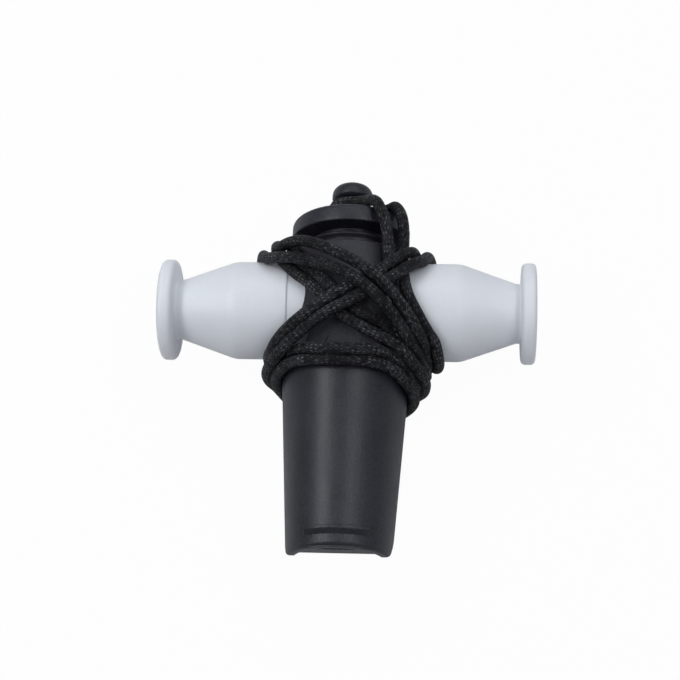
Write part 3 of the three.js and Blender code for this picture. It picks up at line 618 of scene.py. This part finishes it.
def plastic_finish():
    """Node group for moulded plastic: slow changes of tone and gloss, fine grain, small specks and
    softened edges."""
    group = bpy.data.node_groups.new("plastic_finish", "ShaderNodeTree")
    for name, kind in (
        ("Dark", "Color"), ("Light", "Color"), ("Speck", "Color"),
        ("Roughness", "Float"), ("Grain", "Float"), ("Edge", "Float"),
    ):
        group.interface.new_socket(name, in_out="INPUT", socket_type="NodeSocket" + kind)
    for name, kind in (("Color", "Color"), ("Roughness", "Float"), ("Normal", "Vector")):
        group.interface.new_socket(name, in_out="OUTPUT", socket_type="NodeSocket" + kind)
    nodes = Nodes(group)
    given = nodes.node("NodeGroupInput").outputs
    result = nodes.node("NodeGroupOutput").inputs
    where = nodes.node("ShaderNodeTexCoord").outputs["Object"]
    slow = nodes.noise(where, TONE_SCALE, TONE_DETAIL)
    fine = nodes.noise(where, GRAIN_SCALE)
    tone = nodes.span(nodes.pick(GRAIN_SHARE, slow, fine), *TONE_SPAN)
    colour = nodes.mix(tone, given["Dark"], given["Light"])
    cells = nodes.node("ShaderNodeTexVoronoi")
    cells.inputs["Scale"].default_value = SPECK_SCALE
    nodes.link(where, cells.inputs["Vector"])
    near = nodes.span(cells.outputs["Distance"], *SPECK_EDGE, 1.0, 0.0)
    rare = nodes.math("GREATER_THAN", nodes.red(cells.outputs["Color"]), SPECK_RARE)
    speck = nodes.math("MULTIPLY", near, rare)
    nodes.link(nodes.mix(speck, colour, given["Speck"]), result["Color"])
    gloss = nodes.span(slow, *NOISE_SPAN, *GLOSS_SPAN)
    nodes.link(nodes.math("ADD", given["Roughness"], gloss), result["Roughness"])
    soft_edge = nodes.node("ShaderNodeBevel", samples=EDGE_SAMPLES)
    nodes.link(given["Edge"], soft_edge.inputs["Radius"])
    grained = nodes.bump(fine, given["Grain"], GRAIN_STRENGTH, soft_edge.outputs["Normal"])
    nodes.link(grained, result["Normal"])
    return group


def plastic(name, finish, values, subsurface=0.0):
    """Plastic with the shared finish at its own values, and light that sinks in a little."""
    material, nodes, shader, _ = new_material(name)
    surface = nodes.node("ShaderNodeGroup", node_tree=finish)
    for socket, value in values.items():
        surface.inputs[socket].default_value = value
    nodes.link(surface.outputs["Color"], shader.inputs["Base Color"])
    nodes.link(surface.outputs["Roughness"], shader.inputs["Roughness"])
    nodes.link(surface.outputs["Normal"], shader.inputs["Normal"])
    shader.inputs["Subsurface Weight"].default_value = subsurface
    shader.inputs["Subsurface Radius"].default_value = SUBSURFACE_RADIUS
    shader.inputs["Subsurface Scale"].default_value = SUBSURFACE_SCALE
    return material


def braid(name):
    """Round braid: bands a = N u + v and b = N u - v cross, and each cell shows one of the two,
    bulging. Painted glints lie on the cells' crowns as short strokes, stronger on one band than on
    the other, and painted shade darkens the gaps between cells."""
    material, nodes, shader, where = new_material(name)
    split = nodes.node("ShaderNodeSeparateXYZ")
    nodes.link(nodes.node("ShaderNodeUVMap").outputs["UV"], split.inputs[0])
    uneven = nodes.span(nodes.noise(where, BRAID_SHIFT_SCALE), *NOISE_SPAN, *BRAID_SHIFT)
    turn = nodes.math("MULTIPLY_ADD", split.outputs["X"], float(BRAID_BANDS), uneven)
    first = nodes.math("ADD", turn, split.outputs["Y"])
    second = nodes.math("SUBTRACT", turn, split.outputs["Y"])
    first_cell, second_cell = nodes.math("FLOOR", first), nodes.math("FLOOR", second)
    first_share, second_share = nodes.math("FRACT", first), nodes.math("FRACT", second)
    over = nodes.math("FLOORED_MODULO", nodes.math("ADD", first_cell, second_cell), 2.0)
    across = nodes.pick(over, first_share, second_share)
    along = nodes.pick(over, second_share, first_share)
    crown = nodes.math("SQRT", nodes.hump(across, BAND_CROWN))
    height = nodes.math("MULTIPLY", crown, nodes.hump(along, BAND_SAG))
    filament = nodes.math("SINE", nodes.math("MULTIPLY", across, 2 * math.pi * FILAMENTS))
    height = nodes.math("MULTIPLY_ADD", filament, FILAMENT_HEIGHT, height)
    cell = nodes.node("ShaderNodeCombineXYZ")
    nodes.link(first_cell, cell.inputs["X"])
    nodes.link(second_cell, cell.inputs["Y"])
    random = nodes.node("ShaderNodeTexWhiteNoise", noise_dimensions="2D")
    nodes.link(cell.outputs["Vector"], random.inputs["Vector"])
    # Slow noise that sets where the painted glints show and where they fade
    glint_patches = nodes.span(nodes.noise(where, GLINT_PATCH_SCALE, GLINT_PATCH_DETAIL), *GLINT_PATCH_SPAN, *GLINT_PATCH_CHANCE)
    glint_chance = nodes.math("MULTIPLY", random.outputs["Value"], glint_patches)
    glint_shape = nodes.math("POWER", height, GLINT_POWER)
    glint_stroke = nodes.math("MULTIPLY", glint_shape, nodes.pick(over, *GLINT_SHARES))
    # Painted shade: the colour darkens toward the low gaps between cells
    colour = nodes.mix(nodes.span(height, *GAP_SHADE_SPAN), CORD_PAINTED_SHADE, CORD_YARN)
    # Painted glint: light strokes on the cells' crowns, at a random strength per cell, stronger on
    # one band
    colour = nodes.mix(nodes.math("MULTIPLY", glint_chance, glint_stroke), colour, CORD_PAINTED_GLINT)
    nodes.link(colour, shader.inputs["Base Color"])
    nodes.link(nodes.bump(height, BRAID_RELIEF), shader.inputs["Normal"])
    shader.inputs["Specular IOR Level"].default_value = CORD_SPECULAR
    shader.inputs["Roughness"].default_value = CORD_ROUGHNESS
    return material


def stage_light(name, towards, distance, size, power):
    """Softbox in the given direction from the whistle, facing it, its length along the body."""
    data = bpy.data.lights.new(name, "AREA")
    data.shape = "RECTANGLE"
    data.size, data.size_y = size
    data.energy = power
    data.color = DAYLIGHT
    back = Vector(towards).normalized()
    length = (Vector((0, 1, 0)) - back * back.y).normalized()
    turn = Matrix((length.cross(back), length, back)).transposed()
    in_scene(name, data).matrix_world = Matrix.Translation(back * distance) @ turn.to_4x4()


def camera_white(nodes, surface, share):
    """Surface that the camera sees as plain white by the given share."""
    glow = nodes.node("ShaderNodeEmission")
    rays = nodes.node("ShaderNodeLightPath")
    blend = nodes.node("ShaderNodeMixShader")
    nodes.link(nodes.math("MULTIPLY", rays.outputs["Is Camera Ray"], share), blend.inputs[0])
    nodes.link(surface, blend.inputs[1])
    nodes.link(glow.outputs[0], blend.inputs[2])
    return blend.outputs[0]


def make_floor():
    """White floor under the lowest strand."""
    low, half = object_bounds()[0].z, FLOOR_HALF
    mesh = bpy.data.meshes.new("floor")
    corners = [(-half, -half, low), (half, -half, low), (half, half, low), (-half, half, low)]
    mesh.from_pydata(corners, [], [(0, 1, 2, 3)])
    floor = in_scene("floor", mesh)
    material, nodes, shader, _ = new_material("floor_white")
    shader.inputs["Base Color"].default_value = FLOOR_GREY
    shader.inputs["Roughness"].default_value = FLOOR_ROUGHNESS
    seen = camera_white(nodes, shader.outputs[0], FLOOR_WHITE)
    nodes.link(seen, material.node_tree.nodes["Material Output"].inputs["Surface"])
    mesh.materials.append(material)


def make_surround():
    """World that looks white to the camera and lights the whistle most from behind and above."""
    world = bpy.data.worlds.new("surround")
    world.use_nodes = True
    nodes = Nodes(world.node_tree)
    sky = world.node_tree.nodes["Background"]
    seen = nodes.node("ShaderNodeLightPath").outputs["Is Camera Ray"]
    nodes.link(nodes.mix(seen, (*DAYLIGHT, 1), (1, 1, 1, 1)), sky.inputs["Color"])
    towards = nodes.node("ShaderNodeSeparateXYZ")
    nodes.link(nodes.node("ShaderNodeTexCoord").outputs["Generated"], towards.inputs[0])
    rise = nodes.math("MULTIPLY_ADD", towards.outputs["Y"], SURROUND_LEAN, towards.outputs["Z"])
    glow = nodes.span(rise, *SURROUND_SPAN, *SURROUND_GLOW)
    nodes.link(nodes.pick(seen, glow, 1.0), sky.inputs["Strength"])
    bpy.context.scene.world = world


def make_stage():
    """Floor, surround and softboxes."""
    make_floor()
    make_surround()
    for softbox in SOFTBOXES:
        stage_light(*softbox)
    bpy.context.scene.view_settings.view_transform = "Standard"


def refined(node):
    """Copy of a CAD node with its shared corners merged, its round faces shaded smooth and its
    sharp edges kept."""
    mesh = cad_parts[node].data.copy()
    work = bmesh.new()
    work.from_mesh(mesh)
    bmesh.ops.remove_doubles(work, verts=work.verts, dist=MERGE_CAD)
    for edge in work.edges:
        edge.smooth = len(edge.link_faces) == 2 and edge.calc_face_angle() < SHARP_ANGLE
    for face in work.faces:
        face.smooth = True
    work.to_mesh(mesh)
    work.free()
    mesh.materials.clear()
    return in_scene(node + "_moulded", mesh)


def cut_away(body, cutter):
    """Takes the cutter's volume out of the body's mesh."""
    cut = body.modifiers.new("cut", "BOOLEAN")
    cut.operation = "DIFFERENCE"
    cut.solver = "EXACT"
    cut.object = cutter
    evaluated = body.evaluated_get(bpy.context.evaluated_depsgraph_get())
    body.data = bpy.data.meshes.new_from_object(evaluated)
    body.modifiers.clear()
    bpy.data.objects.remove(cutter)


def cut_mouth_step(body):
    """Takes a shallow step off the mouth's upper edge. Its floor is the arch z = Z - x^2 / 2R,
    flatter than the body, and its face leans back from the floor by the given slope."""
    x = np.linspace(-MOUTH_RADIUS, MOUTH_RADIUS, MOUTH_STEP_SLICES)
    floor = MOUTH_STEP_Z - x ** 2 / (2 * MOUTH_STEP_CURVE)
    top = floor + MOUTH_STEP_RISE
    outside = MOUTH_Y - CUT_MARGIN
    face_top = MOUTH_STEP_Y + MOUTH_STEP_RISE * MOUTH_STEP_SLOPE
    edges = [(outside, floor), (MOUTH_STEP_Y, floor), (face_top, top), (outside, top)]
    points = np.stack([np.stack([x, np.full_like(x, y), z], axis=1) for y, z in edges], axis=1)
    rings, sides = points.shape[:2]
    faces = ring_faces(rings, sides).tolist() + ring_caps(rings, sides)
    cutter = mesh_object("mouth_step", points.reshape(-1, 3), faces, smooth=False)
    face_outward(cutter.data)
    cut_away(body, cutter)


def cut_collar_waist(body):
    """Takes a shallow waist, turned about Y, out of the collar between the body and the rim."""
    outside = COLLAR_RADIUS + CUT_MARGIN
    low, high = BODY_TOP, COLLAR_TOP - COLLAR_RIM
    corners = [(COLLAR_WAIST, low), (outside, low), (outside, high), (COLLAR_WAIST, high)]
    cut_away(body, turned("collar_waist", np.array(corners + corners[:1])))


def dress(piece, body, node, material):
    """Gives a piece its material and its place in the frame."""
    piece.data.materials.clear()
    piece.data.materials.append(material)
    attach(piece, body)
    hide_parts(node)


def knot_parts():
    """Knot in the two ends: a wrap (A cos a, climb, B sin a) of two turns round Y, and two strands
    that run through it."""
    centre = np.array(KNOT_CENTRE)
    turns = np.linspace(-KNOT_OVERLAP, 2 * np.pi * KNOT_TURNS + KNOT_OVERLAP, KNOT_POINTS)
    climb = np.linspace(-KNOT_CLIMB, KNOT_CLIMB, KNOT_POINTS)
    wide, deep = KNOT_WRAP
    ways = [centre + np.stack([wide * np.cos(turns), climb, deep * np.sin(turns)], axis=1)]
    for side, strand in ((-1, STRAND_ONE), (1, STRAND_TWO)):
        inside = centre + np.array(KNOT_STRAND) * (side, 1, 1)
        ways.append(np.vstack([np.array(strand[-1]) + KNOT_ENTRY, inside]))
    return joined([tube_parts(smooth_curve(way, CORD_RING_STEP)) for way in ways])


def make_cords(material):
    """Lanyard and knot, where their solids lie."""
    path = smooth_curve(settled_cord(), CORD_RING_STEP)
    lanyard = mesh_object("lanyard_cord", *tube_parts(path))
    knot = mesh_object("lanyard_knot_tied", *knot_parts())
    dress(lanyard, "whistle", "lanyard", material)
    dress(knot, "whistle", "lanyard_knot", material)


def make_stopper(material):
    """Plug, flange, neck and knob, turned about Y. The knob's dome is (R cos^p a, h sin^q a)."""
    rise = np.linspace(0, math.pi / 2, DOME_STEPS)[:-1]
    dome_base = KNOB_BASE + KNOB_SIDE
    dome_radius = KNOB_RADIUS * np.cos(rise) ** DOME_POWERS[0]
    dome_height = dome_base + (KNOB_TOP - dome_base) * np.sin(rise) ** DOME_POWERS[1]
    corners = [
        (0, PLUG_ROOF, 0), (PLUG_CORE, PLUG_ROOF, 0.4), (PLUG_CORE, PLUG_FOOT, 0.2),
        (PLUG_RADIUS, PLUG_FOOT, 0.3), (PLUG_RADIUS, FLANGE_BOTTOM, 0.15),
        (FLANGE_RADIUS, FLANGE_BOTTOM, 0.4), (FLANGE_RADIUS, FLANGE_TOP, 1.0),
        (NECK_RADIUS, FLANGE_TOP, 0.7), (NECK_RADIUS, KNOB_BASE - KNOB_UNDERCUT, 0.3),
        (KNOB_RADIUS - KNOB_CHAMFER, KNOB_BASE, 0.2), (KNOB_RADIUS, KNOB_BASE + KNOB_CHAMFER, 0.2),
        *zip(dome_radius, dome_height, np.zeros_like(rise)), (0, KNOB_TOP, 0),
    ]
    stopper = turned("stopper_turned", rounded_profile(corners))
    dress(stopper, "whistle", "stopper", material)


def make_barrel(side, name, material):
    """Spigot, belly, cone, neck and flange with its finger hole, turned about X."""
    corners = [
        (BARREL_BORE, BORE_SEAM, 0), (BARREL_BORE, SPIGOT_END, 0.25),
        (SPIGOT_RADIUS, SPIGOT_END, 0.4), (SPIGOT_RADIUS, SHOULDER, 0.15),
        (BARREL_RADIUS, SHOULDER, 0.4), (BARREL_RADIUS, BELLY_END, 6.0),
        (BARREL_NECK, CONE_END, 2.0), (BARREL_NECK, BARREL_FLANGE, 0.4),
        (BARREL_FLANGE_RADIUS, BARREL_FLANGE, 1.0), (BARREL_FLANGE_RADIUS, BARREL_REACH, 1.0),
        (FINGER_HOLE, BARREL_REACH, 0.9), (FINGER_HOLE, BARREL_FLANGE, 0.5),
        (BARREL_BORE, BELLY_END, 2.0), (BARREL_BORE, BORE_SEAM, 0),
    ]
    barrel = turned(name + "_turned", rounded_profile(corners), side)
    dress(barrel, name, name, material)


make_camera()
make_cords(braid("braided_cord"))
finish = plastic_finish()
black = plastic("black_plastic", finish, BLACK_PLASTIC)
white = plastic("white_plastic", finish, WHITE_PLASTIC, WHITE_SUBSURFACE)
body_shell = refined("body_shell")
cut_mouth_step(body_shell)
cut_collar_waist(body_shell)
dress(body_shell, "whistle", "body_shell", black)
dress(refined("windway_block"), "whistle", "windway_block", black)
make_stopper(black)
make_barrel(-1, "left_barrel", white)
make_barrel(1, "right_barrel", white)
make_stage()
